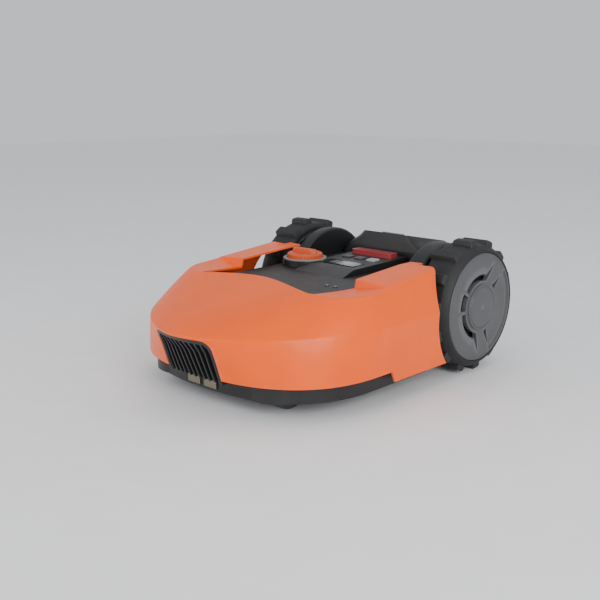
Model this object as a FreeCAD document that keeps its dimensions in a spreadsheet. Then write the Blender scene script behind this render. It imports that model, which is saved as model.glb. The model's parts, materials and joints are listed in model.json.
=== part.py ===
"""Robotic lawn mower, as an assembly of its separate pieces.

Millimetres, +Z up.  The front of the machine points to -Y and its left side to +X.  The origin is the
bottom centre of the machine, on the ground and half-way along it.  Most lengthwise places are given
from the rear axle, as "axle_y - ...".
"""
import FreeCAD
import Part
import Sketcher
import math
import os
import re

VECTOR = FreeCAD.Vector

doc = FreeCAD.newDocument("RoboticMower")
sheet = doc.addObject("Spreadsheet::Sheet", "Dimensions")

SIZES = [
    ("axle_y", 171, "rear axle, behind the origin"),
    ("axle_z", 104, "rear axle, above the ground"),
    # rear wheels
    ("lug_radius", 104, "outside of the tyre lugs"),
    ("tyre_radius", 97, "tyre between the lugs"),
    ("rim_radius", 84, "rim that carries the tyre"),
    ("wheel_inner_x", 142, "inner face of the wheel"),
    ("tread_outer_x", 190, "outer edge of the lugs"),
    ("wheel_outer_x", 199, "outer face of the wheel disc"),
    ("cap_outer_x", 202, "outer face of the centre cap"),
    ("cap_radius", 36, "centre cap"),
    ("web_thickness", 6, "wheel disc"),
    ("lug_count", 14, "lugs round the tyre"),
    ("lug_width", 17, "one lug, along the tread"),
    ("lug_start", 6, "degrees from the top of the wheel to the first lug"),
    ("shaft_radius", 6, "drive shaft"),
    # housings of the drive units
    ("housing_radius", 92, "round drive housing"),
    ("housing_inner_x", 104.4, "housing, side next to the chassis"),
    ("housing_outer_x", 134, "housing, side next to the wheel"),
    ("wall", 3, "moulded wall"),
    ("motor_radius", 21, "drive gearmotor"),
    ("motor_length", 50, "drive gearmotor"),
    # chassis
    ("floor_z", 24, "underside of the chassis"),
    ("split_z", 100, "joint between chassis tub and cover"),
    ("deck_z", 151, "top of the low deck"),
    ("deck_half_width", 111, "raised part of the cover"),
    ("body_half_width", 183, "chassis, widest"),
    ("body_front_reach", 153, "chassis nose ahead of its widest place"),
    ("waist_half_width", 104, "chassis between the wheels"),
    ("widest_y", 240, "widest place, ahead of the axle"),
    ("waist_y", 118, "start of the waist, ahead of the axle"),
    ("tail_y", 98, "chassis tail, behind the axle"),
    # shell
    ("shell_wall", 3, "shell"),
    ("shell_half_width", 200, "shell at its belt line"),
    ("belt_z", 112, "belt line at the nose"),
    ("grille_half_width", 56, "front grille"),
    ("arch_radius", 112, "wheel arch round the axle"),
    # casters
    ("caster_x", 95, "caster stem, off the centre line"),
    ("caster_y", 334, "caster stem, ahead of the axle"),
    ("caster_trail", 12, "caster wheel behind its stem"),
    ("caster_radius", 33, "caster wheel"),
    ("caster_width", 22, "caster wheel"),
    ("caster_well_radius", 48, "room for the caster to swing"),
    ("stem_radius", 6, "caster stem"),
    # cutter
    ("cutter_x", -25, "blade disc centre, off the centre line"),
    ("cutter_y", 172, "blade disc centre, ahead of the axle"),
    ("blade_well_radius", 95, "recess round the blade disc"),
    ("well_roof_z", 80, "roof of that recess"),
    ("disc_radius", 70, "blade disc"),
    ("disc_z", 35, "underside of the blade disc at the lowest cut"),
    ("disc_thickness", 2, "blade disc"),
    ("blade_pivot", 62, "blade pivot, from the disc centre"),
    ("blade_length", 34, "one blade"),
    ("blade_width", 18, "one blade"),
    ("blade_thickness", 0.8, "one blade"),
    ("cutter_motor_radius", 30, "cutting motor"),
    # cutting height knob
    ("knob_x", -72, "height knob, off the centre line"),
    ("knob_y", 108, "height knob, ahead of the axle"),
    ("knob_radius", 29, "height knob"),
    ("knob_top_z", 177, "top of the height knob"),
    ("knob_base_radius", 36, "pedestal of the height knob"),
    ("knob_base_height", 10, "pedestal of the height knob"),
    ("screw_radius", 6, "lifting screw"),
    # console
    ("console_z", 160, "top of the console at its front"),
    ("console_half_width", 50, "console"),
    ("console_front", 155, "front of the console, ahead of the axle"),
    ("display_width", 70, "display window"),
    ("display_depth", 30, "display window"),
    ("display_y", 98, "display window, ahead of the axle"),
    ("key_y", 52, "row of keys, ahead of the axle"),
    ("key_pitch", 26, "between the keys"),
    ("key_size", 17, "one key"),
    ("stop_y", 16, "stop bar, ahead of the axle"),
    ("stop_width", 82, "stop bar"),
    ("stop_depth", 20, "stop bar"),
    ("switch_z", 136, "underside of the stop switch's posts"),
    ("hump_z", 198, "top of the rear cover"),
]
for row, (alias, value, note) in enumerate(SIZES, 1):
    sheet.set(f"A{row}", note)
    sheet.set(f"B{row}", str(value))
    sheet.setAlias(f"B{row}", alias)
doc.recompute()

ALIASES = {alias for alias, _, _ in SIZES}
PARTS = []


def size(alias):
    """The number that the sheet holds under an alias."""
    return float(sheet.get(alias))


def formula(text):
    """An expression in which each alias points at its cell of the sheet."""
    def cell(match):
        word = match.group(0)
        return "Dimensions." + word if word in ALIASES else word
    return re.sub(r"[a-z_]+[a-z_0-9]*", cell, str(text))


def bind(obj, **properties):
    for name, text in properties.items():
        obj.setExpression(name, formula(text))


def place(obj, at, rotation=None):
    """Put an object at three expressions, with an optional rotation."""
    obj.Placement = FreeCAD.Placement(VECTOR(0, 0, 0), rotation or FreeCAD.Rotation())
    for letter, text in zip("xyz", at):
        obj.setExpression("Placement.Base." + letter, formula(text))
    return obj


def along(axis):
    """The rotation that turns +Z to an axis: z, x, -x, y or -y."""
    turns = {"z": (VECTOR(1, 0, 0), 0), "x": (VECTOR(0, 1, 0), 90), "-x": (VECTOR(0, 1, 0), -90),
             "y": (VECTOR(1, 0, 0), -90), "-y": (VECTOR(1, 0, 0), 90), "-z": (VECTOR(1, 0, 0), 180)}
    return FreeCAD.Rotation(*turns[axis])


def part(obj, label):
    """Keep an object as a piece of the machine, under its own name."""
    obj.Label = label
    PARTS.append(obj)
    return obj


def box(length, width, height, at):
    """A box centred on x and y, standing on z."""
    obj = doc.addObject("Part::Box", "Box")
    bind(obj, Length=length, Width=width, Height=height)
    return place(obj, (f"({at[0]}) - ({length}) / 2", f"({at[1]}) - ({width}) / 2", at[2]))


def cylinder(radius, height, at, axis="z"):
    obj = doc.addObject("Part::Cylinder", "Cylinder")
    bind(obj, Radius=radius, Height=height)
    return place(obj, at, along(axis))


def cone(radius, end_radius, height, at, axis="z"):
    obj = doc.addObject("Part::Cone", "Cone")
    bind(obj, Radius1=radius, Radius2=end_radius, Height=height)
    return place(obj, at, along(axis))


def fuse(*shapes):
    obj = doc.addObject("Part::MultiFuse", "Fuse")
    obj.Shapes = list(shapes)
    obj.Refine = True
    return obj


def group(*shapes):
    obj = doc.addObject("Part::Compound", "Group")
    obj.Links = list(shapes)
    return obj


def cut(base, *tools):
    obj = doc.addObject("Part::Cut", "Cut")
    obj.Base = base
    obj.Tool = tools[0] if len(tools) == 1 else group(*tools)
    obj.Refine = True
    return obj


def common(first, second):
    obj = doc.addObject("Part::MultiCommon", "Common")
    obj.Shapes = [first, second]
    return obj


def tube(outer, inner, height, at, axis="z"):
    return cut(cylinder(outer, height, at, axis), cylinder(inner, height, at, axis))


def rounded(base, radius, wanted):
    """Round the edges of a base whose ends pass the test."""
    doc.recompute()
    edges = [(number, radius, radius) for number, edge in enumerate(base.Shape.Edges, 1) if wanted(edge)]
    obj = doc.addObject("Part::Fillet", "Rounded")
    obj.Base = base
    obj.Edges = edges
    return obj


def upright(edge):
    low, high = edge.Vertexes[0].Point, edge.Vertexes[-1].Point
    return abs(low.z - high.z) > 0.5 and abs(low.x - high.x) + abs(low.y - high.y) < 0.01


def shaped(shape, name="Shape"):
    """A shape made in code, kept as an object of the document."""
    obj = doc.addObject("Part::Feature", name)
    obj.Shape = shape
    return obj


def pad(name, points, thickness, plane, at, rotation=None):
    """A PartDesign body: a closed outline of expression pairs, padded by an expression."""
    body = doc.addObject("PartDesign::Body", name)
    sketch = body.newObject("Sketcher::SketchObject", name + "Sketch")
    base = next(item for item in body.Origin.OriginFeatures if item.Role == plane)
    sketch.AttachmentSupport = [(base, "")]
    sketch.MapMode = "FlatFace"
    helper = doc.addObject("Part::Cylinder", "Probe")
    corners = []
    for first, second in points:
        bind(helper, Radius=f"1000 + ({first})", Height=f"1000 + ({second})")
        doc.recompute()
        corners.append(VECTOR(helper.Radius.Value - 1000, helper.Height.Value - 1000, 0))
    doc.removeObject(helper.Name)
    count = len(corners)
    for index in range(count):
        sketch.addGeometry(Part.LineSegment(corners[index], corners[(index + 1) % count]), False)
    for index in range(count):
        sketch.addConstraint(Sketcher.Constraint("Coincident", index, 2, (index + 1) % count, 1))
    for index, (first, second) in enumerate(points):
        for kind, text, value in (("DistanceX", first, corners[index].x),
                                  ("DistanceY", second, corners[index].y)):
            number = sketch.addConstraint(Sketcher.Constraint(kind, -1, 1, index, 1, value))
            sketch.setExpression(f"Constraints[{number}]", formula(text))
    feature = body.newObject("PartDesign::Pad", name + "Pad")
    feature.Profile = sketch
    bind(feature, Length=thickness)
    body.Tip = feature
    return place(body, at, rotation)


# ---------------------------------------------------------------- shapes drawn by formula

def behind(distance):
    """A lengthwise place given from the axle, negative ahead of it."""
    return size("axle_y") + distance


def superellipse(turn, half_width, reach, exponent):
    """A point of the nose outline: turn 0 is the nose and 90 degrees the widest place."""
    across = math.copysign(abs(math.sin(turn)) ** (2 / exponent), turn) * half_width
    ahead = abs(math.cos(turn)) ** (2 / exponent) * reach
    return across, behind(-size("widest_y") - ahead)


def chassis_outline(inset, z):
    """The closed plan outline of the chassis, moved inwards by inset, as a wire at height z."""
    half, reach = size("body_half_width") - inset, size("body_front_reach") - inset
    waist, tail = size("waist_half_width") - inset, behind(size("tail_y") - inset)
    shoulder = behind(-size("waist_y") - inset)
    nose = []
    for step in range(-6, 7):
        x, y = superellipse(math.radians(15 * step), half, reach, 2.6)
        nose.append(VECTOR(x, y, z))
    curve = Part.BSplineCurve()
    curve.interpolate(nose)
    tail_half = waist - 22
    corners = [nose[-1], VECTOR(half, shoulder, z), VECTOR(waist, shoulder, z), VECTOR(waist, tail - 22, z),
               VECTOR(tail_half, tail, z), VECTOR(-tail_half, tail, z), VECTOR(-waist, tail - 22, z),
               VECTOR(-waist, shoulder, z), VECTOR(-half, shoulder, z), nose[0]]
    edges = [curve.toShape()]
    edges += [Part.makeLine(corners[index], corners[index + 1]) for index in range(len(corners) - 1)]
    return Part.Wire(edges)


def prism(inset, low, high):
    return Part.Face(chassis_outline(inset, low)).extrude(VECTOR(0, 0, high - low))


def nose_levels(side=0):
    """Half width, reach, exponent and height of the nose's outlines; the upper ones rise towards the sides."""
    belt = size("shell_half_width")
    return ((belt - 2.5, 171, 2.5, 49),
            (belt - 1, 187, 2.05, 87),
            (belt, 206, 1.68, size("belt_z") + 3 * side ** 2),
            (belt - 9, 160, 1.75, 129.5 + 9 * side ** 2),
            (belt - 22, 100, 1.85, 148 + 12 * side ** 2))


def nose_rows(turn):
    """The rows of the shell's outer surface at one turn round the nose, from lower edge to deck."""
    side = abs(math.sin(turn))
    rows = []
    for half, reach, exponent, z in nose_levels(side):
        x, y = superellipse(turn, half, reach, exponent)
        rows.append(VECTOR(x, y, z))
    edge_turn = 0.9
    across = 119 * min(1, side / edge_turn)
    share = across / 119
    y = behind(-276 - 20 * (1 - (1 - share) ** 2))
    z = 165.5 - 6.5 * share ** 2
    if side > edge_turn:
        back = (side - edge_turn) / (1 - edge_turn)
        y += 56 * back
        z -= 3 * back
    rows.append(VECTOR(math.copysign(across, turn), y, z))
    return rows


def side_rows(distance, direction):
    """The same rows on a straight side, at a distance ahead of the axle."""
    belt = size("shell_half_width")
    back = (size("widest_y") - distance) / (size("widest_y") - 70)
    lower = 49 if distance > 215 else 33
    raised = distance < 206
    inner_z = 167 + 7 * min(1, (206 - distance) / 106) if raised else 154.5 + (distance - 206) * 0.04
    points = ((belt - 2.5, lower), (belt - 1, 87), (belt, 115), (belt - 9 - 4 * back, 138 + 8 * back),
              (belt - 22 - 6 * back, 160 + 17 * back), (119 - 3 * back, inner_z))
    return [VECTOR(direction * x, behind(-distance), z) for x, z in points]


def shell_stations():
    """Rows of the outer surface, station by station, from the right rear round the nose to the left."""
    distances = (73, 100, 135, 170, 204.5, 207.5, 222)
    stations = [side_rows(distance, -1) for distance in distances]
    stations += [nose_rows(math.radians(7.5 * step)) for step in range(-12, 13)]
    stations += [side_rows(distance, 1) for distance in reversed(distances)]
    return stations


def shell_solid():
    """The shell's wall: each station is a closed band, and the bands are joined by ruled faces."""
    stations = shell_stations()
    last = len(stations) - 1
    wires = []
    for index, rows in enumerate(stations):
        before, after = stations[max(index - 1, 0)], stations[min(index + 1, last)]
        if index in (0, last):
            flow = [VECTOR(0, -1 if index == 0 else 1, 0)] * len(rows)
        else:
            flow = [end - start for start, end in zip(before, after)]
        inner = []
        for number, point in enumerate(rows):
            rise = rows[min(number + 1, len(rows) - 1)] - rows[max(number - 1, 0)]
            normal = flow[number].cross(rise).normalize()
            inner.append(point - normal * size("shell_wall"))
        if index in (0, last):
            inner = [VECTOR(point.x, rows[0].y, point.z) for point in inner]
        wires.append(Part.makePolygon(rows + inner[::-1] + [rows[0]]))
    return Part.makeLoft(wires, True, True)


# ---------------------------------------------------------------- chassis

def caster_place(direction):
    return (f"{direction} * caster_x", "axle_y - caster_y")


CUTTER = ("cutter_x", "axle_y - cutter_y")
RAILS = [("cutter_x + 46", "axle_y - cutter_y + 44"), ("cutter_x - 50", "axle_y - cutter_y - 40")]
COVER_SCREWS = [(side * 165, f"axle_y - {distance}") for side in (-1, 1) for distance in (135, 215)]
COVER_SCREWS += [(side * 34, "axle_y - 378") for side in (-1, 1)]
SHELL_PINS = [(direction * 150, f"axle_y - {distance}") for direction in (-1, 1) for distance in (160, 270)]


def make_chassis_base():
    """Lower tub: floor, outer wall, blade recess, caster wells and the seats of the drive shafts."""
    top = size("split_z")
    outer = shaped(prism(0, size("floor_z"), top), "TubOutside")
    inner = shaped(prism(size("wall"), size("floor_z") + size("wall"), top + 1), "TubInside")
    recess = cylinder("blade_well_radius + wall", "well_roof_z - floor_z", (*CUTTER, "floor_z"))
    wells = [cylinder("caster_well_radius + wall", "well_roof_z + wall - floor_z",
                      (*caster_place(side), "floor_z")) for side in (-1, 1)]
    bosses = [cylinder("stem_radius + 8", "split_z - well_roof_z - 1", (*caster_place(side), "well_roof_z"))
              for side in (-1, 1)]
    rail_seats = [cylinder("8", "4", (*spot, "well_roof_z")) for spot in RAILS]
    screw_seat = cylinder("11", "wall + 5", ("knob_x", "axle_y - knob_y", "well_roof_z - wall"))
    bosses += [cylinder("5", "split_z - floor_z", (*spot, "floor_z")) for spot in COVER_SCREWS]
    battery_ledge = box("150", "86", "8", ("0", "axle_y + 40", "floor_z + 1"))
    solid = common(fuse(cut(outer, inner), recess, *wells, *bosses, *rail_seats, screw_seat, battery_ledge),
                   shaped(prism(-30, size("floor_z"), top), "Reach"))
    hollows = [cylinder("blade_well_radius", "well_roof_z - wall - floor_z + 1", (*CUTTER, "floor_z - 1")),
               cylinder("cutter_motor_radius + 4", "60", (*CUTTER, "floor_z + 1")),
               cylinder("screw_radius + 0.05", "40", ("knob_x", "axle_y - knob_y", "well_roof_z - 0.3")),
               box("138", "74", "wall + 1", ("0", "axle_y + 40", "floor_z - 1")),
               box("112", "54", "20", ("0", "axle_y + 40", "floor_z - 1"))]
    hollows += [cylinder("1.5", "9", (*spot, "floor_z - 1")) for spot in BATTERY_SCREWS]
    hollows += [cylinder("1.6", "13", (*spot, "split_z - 8")) for spot in COVER_SCREWS]
    hollows += [cylinder("caster_well_radius", "well_roof_z - floor_z + 1", (*caster_place(side), "floor_z - 1"))
                for side in (-1, 1)]
    hollows += [cylinder("stem_radius + 3", "30", (*caster_place(side), "well_roof_z - 1"))
                for side in (-1, 1)]
    hollows += [cylinder("4", "10", (*spot, "well_roof_z - 1")) for spot in RAILS]
    hollows += [cylinder("motor_radius + 1", "12", (f"{side} * (waist_half_width - 8)", "axle_y", "axle_z"),
                         "x" if side > 0 else "-x") for side in (-1, 1)]
    part(cut(solid, *hollows), "chassis_base")


def make_chassis_cover():
    """Upper cover: a flange on the tub and the raised deck that closes the electronics in."""
    flange_top = size("split_z") + 3.4
    flange = cut(shaped(prism(0, size("split_z") + 0.4, flange_top), "Flange"),
                 box("2 * deck_half_width - 2 * wall - 6", "380", "20", ("0", "axle_y - 108", "split_z - 5")))
    depth, middle = "280", "axle_y - 153"
    deck = rounded(box("2 * deck_half_width", depth, "deck_z - split_z - 0.4", ("0", middle, "split_z + 0.4")),
                   9, lambda edge: edge.BoundBox.ZMin > size("deck_z") - 1)
    tail = box("2 * waist_half_width - 4", "108", "deck_z - split_z - 0.4", ("0", "axle_y + 38", "split_z + 0.4"))
    room = box("2 * deck_half_width - 2 * wall", "274", "deck_z - split_z - wall - 0.4",
               ("0", "axle_y - 153", "split_z"))
    tail_room = box("2 * waist_half_width - 4 - 2 * wall", "114", "deck_z - split_z - wall - 0.4",
                    ("0", "axle_y + 32", "split_z"))
    knob_hole = cylinder("screw_radius + 1", "20", ("knob_x", "axle_y - knob_y", "deck_z - 10"))
    stop_hole = cylinder("5", "20", ("0", "axle_y - stop_y", "deck_z - 10"))
    motors = cylinder("motor_radius + 1", "2 * housing_inner_x + 10", ("-housing_inner_x - 5", "axle_y", "axle_z"),
                      "x")
    pin_holes = [cylinder("9", "20", (*spot, "split_z - 5")) for spot in SHELL_PINS]
    pin_holes += [cylinder("1.6", "20", (*spot, "split_z - 5")) for spot in COVER_SCREWS]
    posts = [cylinder("3", f"deck_z - 1 - ({BOARD_Z}) - 1.6", (*spot, f"{BOARD_Z} + 1.6")) for spot in BOARD_POSTS]
    posts += [cylinder("3", "deck_z - 1 - switch_z", (side * 8, "axle_y - stop_y", "switch_z")) for side in (-1, 1)]
    wheel_room = [cylinder("housing_radius + 1", "60", (f"{side} * (housing_inner_x - 0.2)", "axle_y", "axle_z"),
                           "x" if side > 0 else "-x") for side in (-1, 1)]
    walls = cut(fuse(flange, deck, tail), room, tail_room)
    part(cut(fuse(walls, *posts), knob_hole, stop_hole, motors, *pin_holes, *wheel_room), "chassis_cover")


def make_seal_and_screws():
    """The gasket between tub and cover, and the screws that close them."""
    z = size("split_z")
    ring = cut(shaped(prism(0.6, z, z + 0.4), "SealOutside"),
               shaped(prism(2.4, z - 1, z + 2), "SealInside"))
    motor_gaps = cylinder("motor_radius + 2", "2 * housing_inner_x + 10",
                          ("-housing_inner_x - 5", "axle_y", "axle_z"), "x")
    part(cut(ring, motor_gaps), "chassis_seal")
    screws = [fuse(cylinder("4", "3", (*spot, "split_z + 3.4")), cylinder("1.6", "13", (*spot, "split_z - 8")))
              for spot in COVER_SCREWS]
    part(group(*screws), "chassis_screws")


BATTERY_SCREWS = [(side * 62, f"axle_y + {40 + 30 * end}") for side in (-1, 1) for end in (-1, 1)]


def make_battery():
    part(rounded(box("118", "62", "40", ("0", "axle_y + 42", "floor_z + 9")), 4, upright), "battery_pack")
    lid = box("137", "73", "wall", ("0", "axle_y + 40", "floor_z"))
    ribs = [box("110", "2", "1.5", ("0", f"axle_y + {40 + 12 * step}", "floor_z - 1.5")) for step in (-2, -1, 0, 1, 2)]
    holes = [cylinder("1.5", "10", (x, y, "floor_z - 4")) for x, y in BATTERY_SCREWS]
    holes += [cylinder("3.2", "4", (x, y, "floor_z - 4")) for x, y in BATTERY_SCREWS]
    part(cut(fuse(lid, *ribs), *holes), "battery_cover")
    screws = [fuse(cylinder("1.5", "8", (x, y, "floor_z - 0.5")), cylinder("3.2", "1.5", (x, y, "floor_z - 1.5")))
              for x, y in BATTERY_SCREWS]
    part(group(*screws), "battery_screws")


BOARD_Z = "split_z + 14"
BOARD_POSTS = [(side * 58, f"axle_y - {distance}") for side in (-1, 1) for distance in (238, 280)]


def make_boards():
    """Main board with its components, hanging from posts under the cover."""
    board = box("130", "56", "1.6", ("0", "axle_y - 259", BOARD_Z))
    chips = [box("14", "14", "2.2", (f"{x}", f"axle_y - {y}", f"{BOARD_Z} + 1.6"))
             for x, y in ((-20, 266), (10, 248), (38, 268))]
    cans = [cylinder("5", "14", (f"{x}", "axle_y - 247", f"{BOARD_Z} + 1.6")) for x in (-40, -26)]
    part(fuse(board, *chips, *cans), "main_board")


def make_bushes_and_rails():
    """Sleeves of the caster stems, the guide rails of the cutter and the rubber buffers of the shell."""
    sleeves = [tube("stem_radius + 3", "stem_radius + 0.05", "split_z - well_roof_z - 1",
                    (*caster_place(side), "well_roof_z")) for side in (-1, 1)]
    part(group(*sleeves), "caster_bushes")
    part(group(*[cylinder("4", "deck_z - wall - well_roof_z - 0.5", (*spot, "well_roof_z")) for spot in RAILS]),
         "guide_rails")
    buffers = [tube("14", "9.5", "7", (*spot, "split_z + 3.4")) for spot in SHELL_PINS]
    part(group(*buffers), "shell_buffers")


# ---------------------------------------------------------------- console and top covers

def make_console():
    """Raised control console, with its wells for the display, the keys, the stop bar and the knob."""
    front, back = "axle_y - console_front", "axle_y + 6"
    points = [(front, "deck_z"), (back, "deck_z"), (back, "console_z + 3"), ("axle_y - 128", "console_z")]
    block = pad("Console", points, "2 * console_half_width", "YZ_Plane", ("-console_half_width", "0", "0"))
    knob_well = cylinder("knob_base_radius + 1", "30", ("knob_x", "axle_y - knob_y", "deck_z"))
    display = box("display_width + 1", "display_depth + 1", "30", ("0", "axle_y - display_y", "console_z - 3"))
    cable = box("40", "16", "30", ("0", "axle_y - display_y", "deck_z - 5"))
    keys = [box("key_size + 0.8", "key_size + 0.8", "30", (x, "axle_y - key_y", "console_z - 2.5"))
            for x in KEY_PLACES]
    stop = box("stop_width + 1", "stop_depth + 1", "30", ("0", "axle_y - stop_y", "deck_z + 5"))
    stop_stem = cylinder("5", "30", ("0", "axle_y - stop_y", "deck_z - 5"))
    part(cut(block, knob_well, display, cable, *keys, stop, stop_stem), "console_panel")


KEY_PLACES = [f"key_pitch * {step}" for step in (-1, 0, 1)]
KEY_NAMES = ("home", "back", "start")


def make_display():
    window = box("display_width", "display_depth", "2", ("0", "axle_y - display_y", "console_z - 0.6"))
    part(rounded(window, 2, upright), "display_window")
    module = box("display_width - 10", "display_depth - 6", "1.8", ("0", "axle_y - display_y", "console_z - 2.8"))
    part(module, "display_module")


def make_keys():
    """Three push keys, each free to travel one millimetre down."""
    for name, x in zip(KEY_NAMES, KEY_PLACES):
        cap = rounded(box("key_size", "key_size", "5.4", (x, "axle_y - key_y", "console_z - 1.2")), 2.5, upright)
        part(cap, f"key_{name}")


def make_stop_button():
    """Wide stop bar on a stem that reaches the switch below the deck."""
    bar = rounded(box("stop_width", "stop_depth", "9", ("0", "axle_y - stop_y", "console_z + 1")), 3, upright)
    stem = cylinder("4", "console_z + 2 - deck_z + 10", ("0", "axle_y - stop_y", "deck_z - 10"))
    part(fuse(bar, stem), "stop_button")
    switch = box("22", "14", "14", ("0", "axle_y - stop_y", "deck_z - 29"))
    part(switch, "stop_switch")


def make_rear_cover():
    """Hump over the tail, with slanted vents, lofted between rounded sections."""
    def section(half_width, front, back, z, corner):
        outline = Part.makePolygon([VECTOR(-half_width, behind(front), z), VECTOR(half_width, behind(front), z),
                                    VECTOR(half_width, behind(back), z), VECTOR(-half_width, behind(back), z),
                                    VECTOR(-half_width, behind(front), z)])
        face = Part.Face(outline)
        block = face.extrude(VECTOR(0, 0, 1))
        corners = [edge for edge in block.Edges if upright_short(edge)]
        flat = block.makeFillet(corner, corners)
        return min(flat.Faces, key=lambda item: item.CenterOfMass.z).OuterWire

    def upright_short(edge):
        low, high = edge.Vertexes[0].Point, edge.Vertexes[-1].Point
        return abs(low.z - high.z) > 0.5

    deck = size("deck_z")
    roof_slope = 11
    vent_depth = 3
    hinge = VECTOR(0, behind(8), size("hump_z"))
    levels = [section(99, 9, 102, deck, 16), section(88, 10, 100, deck + 20, 18),
              section(66, 13, 94, size("hump_z") - 12, 20)]
    body = Part.makeLoft(levels, True, True)
    roof = Part.makeBox(300, 200, 60, VECTOR(-150, behind(0), size("hump_z")))
    roof.rotate(hinge, VECTOR(1, 0, 0), -roof_slope)
    levels.append(section(52, 16, 86, size("hump_z") + 3, 20))
    body = body.fuse(Part.makeLoft(levels[2:], True, True)).cut(roof).removeSplitter()
    hollow = Part.makeBox(110, 66, 22, VECTOR(-55, behind(22), deck - 1))
    tools = [hollow]
    for step in range(5):
        start = VECTOR(14 + 9 * step, behind(46), size("hump_z") - vent_depth)
        vent = Part.makeBox(3.2, 26, 12, start)
        vent.rotate(start, VECTOR(0, 0, 1), 18)
        vent.rotate(hinge, VECTOR(1, 0, 0), -roof_slope)
        tools.append(vent)
    part(shaped(body.cut(tools), "RearCover"), "rear_cover")
    badge = Part.Ellipse(VECTOR(0, 0, 0), 22, 11).toShape()
    plate = Part.Face(Part.Wire(badge)).extrude(VECTOR(0, 0, 1.6))
    plate.rotate(VECTOR(0, 0, 0), VECTOR(1, 0, 0), -roof_slope)
    plate.translate(VECTOR(0, behind(34), size("hump_z") - 26 * math.tan(math.radians(roof_slope)) + 0.05))
    part(shaped(plate, "Badge"), "rear_badge")


def make_contacts():
    """Charging strips on the tub's nose and the rain sensor's two studs on the deck."""
    studs = [cylinder("3.5", "1.6", (x, "axle_y - 210", "deck_z")) for x in (68, 84)]
    part(group(*studs), "rain_sensor")
    tub = shaped(prism(0, 0, size("split_z")), "Tub")
    strips = [cut(box("26", "4", "12", (x, "axle_y - widest_y - body_front_reach", "floor_z + 4")), tub)
              for x in (-17, 17)]
    part(group(*strips), "charge_contacts")


# ---------------------------------------------------------------- drive

def make_drive(side, name):
    """Housing, gearmotor, bearing, shaft, hub, tyre and cap of one rear wheel."""
    axis = "x" if side > 0 else "-x"

    def ring(radius, inner, start, end):
        at = (f"{side} * ({start})", "axle_y", "axle_z")
        if inner is None:
            return cylinder(radius, f"({end}) - ({start})", at, axis)
        return tube(radius, inner, f"({end}) - ({start})", at, axis)

    shell_ = ring("housing_radius", None, "housing_inner_x", "housing_outer_x")
    edge_x = size("housing_outer_x")
    outside = rounded(shell_, 5, lambda edge: abs(abs(edge.BoundBox.Center.x) - edge_x) < 0.01 and
                      edge.BoundBox.XLength < 0.01)
    room = ring("housing_radius - wall", None, "housing_inner_x - 1", "housing_outer_x - wall")
    bore = ring("12", None, "housing_outer_x - wall - 1", "housing_outer_x + 1")
    part(cut(outside, room, bore), f"drive_housing_{name}")
    motor = ring("motor_radius", None, "housing_inner_x + 16 - motor_length", "housing_inner_x + 16")
    nose = ring("11", None, "housing_inner_x + 16", "housing_inner_x + 20")
    shaft_hole = ring("shaft_radius + 0.5", None, "housing_inner_x + 6", "housing_inner_x + 30")
    part(cut(fuse(motor, nose), shaft_hole), f"drive_motor_{name}")
    part(ring("12", "shaft_radius + 0.03", "housing_outer_x - wall", "housing_outer_x + 3"), f"wheel_bearing_{name}")
    part(ring("shaft_radius", None, "housing_inner_x + 8", "wheel_outer_x - 4"), f"drive_shaft_{name}")

    rim = ring("rim_radius", "rim_radius - 5", "wheel_inner_x", "wheel_outer_x - 1")
    web = ring("rim_radius - 4", None, "wheel_outer_x - web_thickness", "wheel_outer_x")
    boss = ring("14", None, "wheel_inner_x", "wheel_outer_x - 1")
    bore = ring("shaft_radius", None, "wheel_inner_x - 1", "wheel_outer_x - 4")
    hub = cut(fuse(rim, web, boss), bore, ring("cap_radius + 0.2", None, "wheel_outer_x - 2", "wheel_outer_x + 5"))
    part(shaped(slotted(hub, side), "Hub"), f"wheel_hub_{name}")
    cap = cone("cap_radius", "cap_radius - 2", "cap_outer_x - wheel_outer_x + 2",
               (f"{side} * (wheel_outer_x - 2)", "axle_y", "axle_z"), axis)
    part(cap, f"hub_cap_{name}")

    carcass = ring("tyre_radius", "rim_radius", "wheel_inner_x", "tread_outer_x")
    shoulder = cut(cone("tyre_radius", "rim_radius + 4", "wheel_outer_x - tread_outer_x - 1",
                        (f"{side} * tread_outer_x", "axle_y", "axle_z"), axis),
                   ring("rim_radius", None, "tread_outer_x - 1", "wheel_outer_x + 1"))
    part(shaped(lugged(fuse(carcass, shoulder), side), "Tyre"), f"tyre_{name}")


def spike(side, start, end, base, tip, half):
    """A pointed slot of the wheel disc: wide at radius base, ending in a point at radius tip."""
    def at(angle, radius):
        turn = math.radians(angle)
        return VECTOR(side * (size("wheel_outer_x") - 8), behind(radius * math.cos(turn)),
                      size("axle_z") + radius * math.sin(turn))
    outline = Part.makePolygon([at(start - half, base), at(end, tip), at(start + half, base), at(start - half, base)])
    return Part.Face(outline).extrude(VECTOR(side * 10, 0, 0))


def arc_slot(side, start, end, inner, outer):
    """A slot of the wheel disc along an arc between two angles."""
    centre = VECTOR(side * (size("wheel_outer_x") - 8), behind(0), size("axle_z"))
    def at(angle, radius):
        turn = math.radians(angle)
        return centre + VECTOR(0, radius * math.cos(turn), radius * math.sin(turn))
    middle = (start + end) / 2
    edges = [Part.Arc(at(start, inner), at(middle, inner), at(end, inner)).toShape(),
             Part.makeLine(at(end, inner), at(end, outer)),
             Part.Arc(at(end, outer), at(middle, outer), at(start, outer)).toShape(),
             Part.makeLine(at(start, outer), at(start, inner))]
    return Part.Face(Part.Wire(edges)).extrude(VECTOR(side * 10, 0, 0))


SLOT_AXIS = 164.5       # the slots lie symmetrically about this angle, from the rear and upwards


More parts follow.
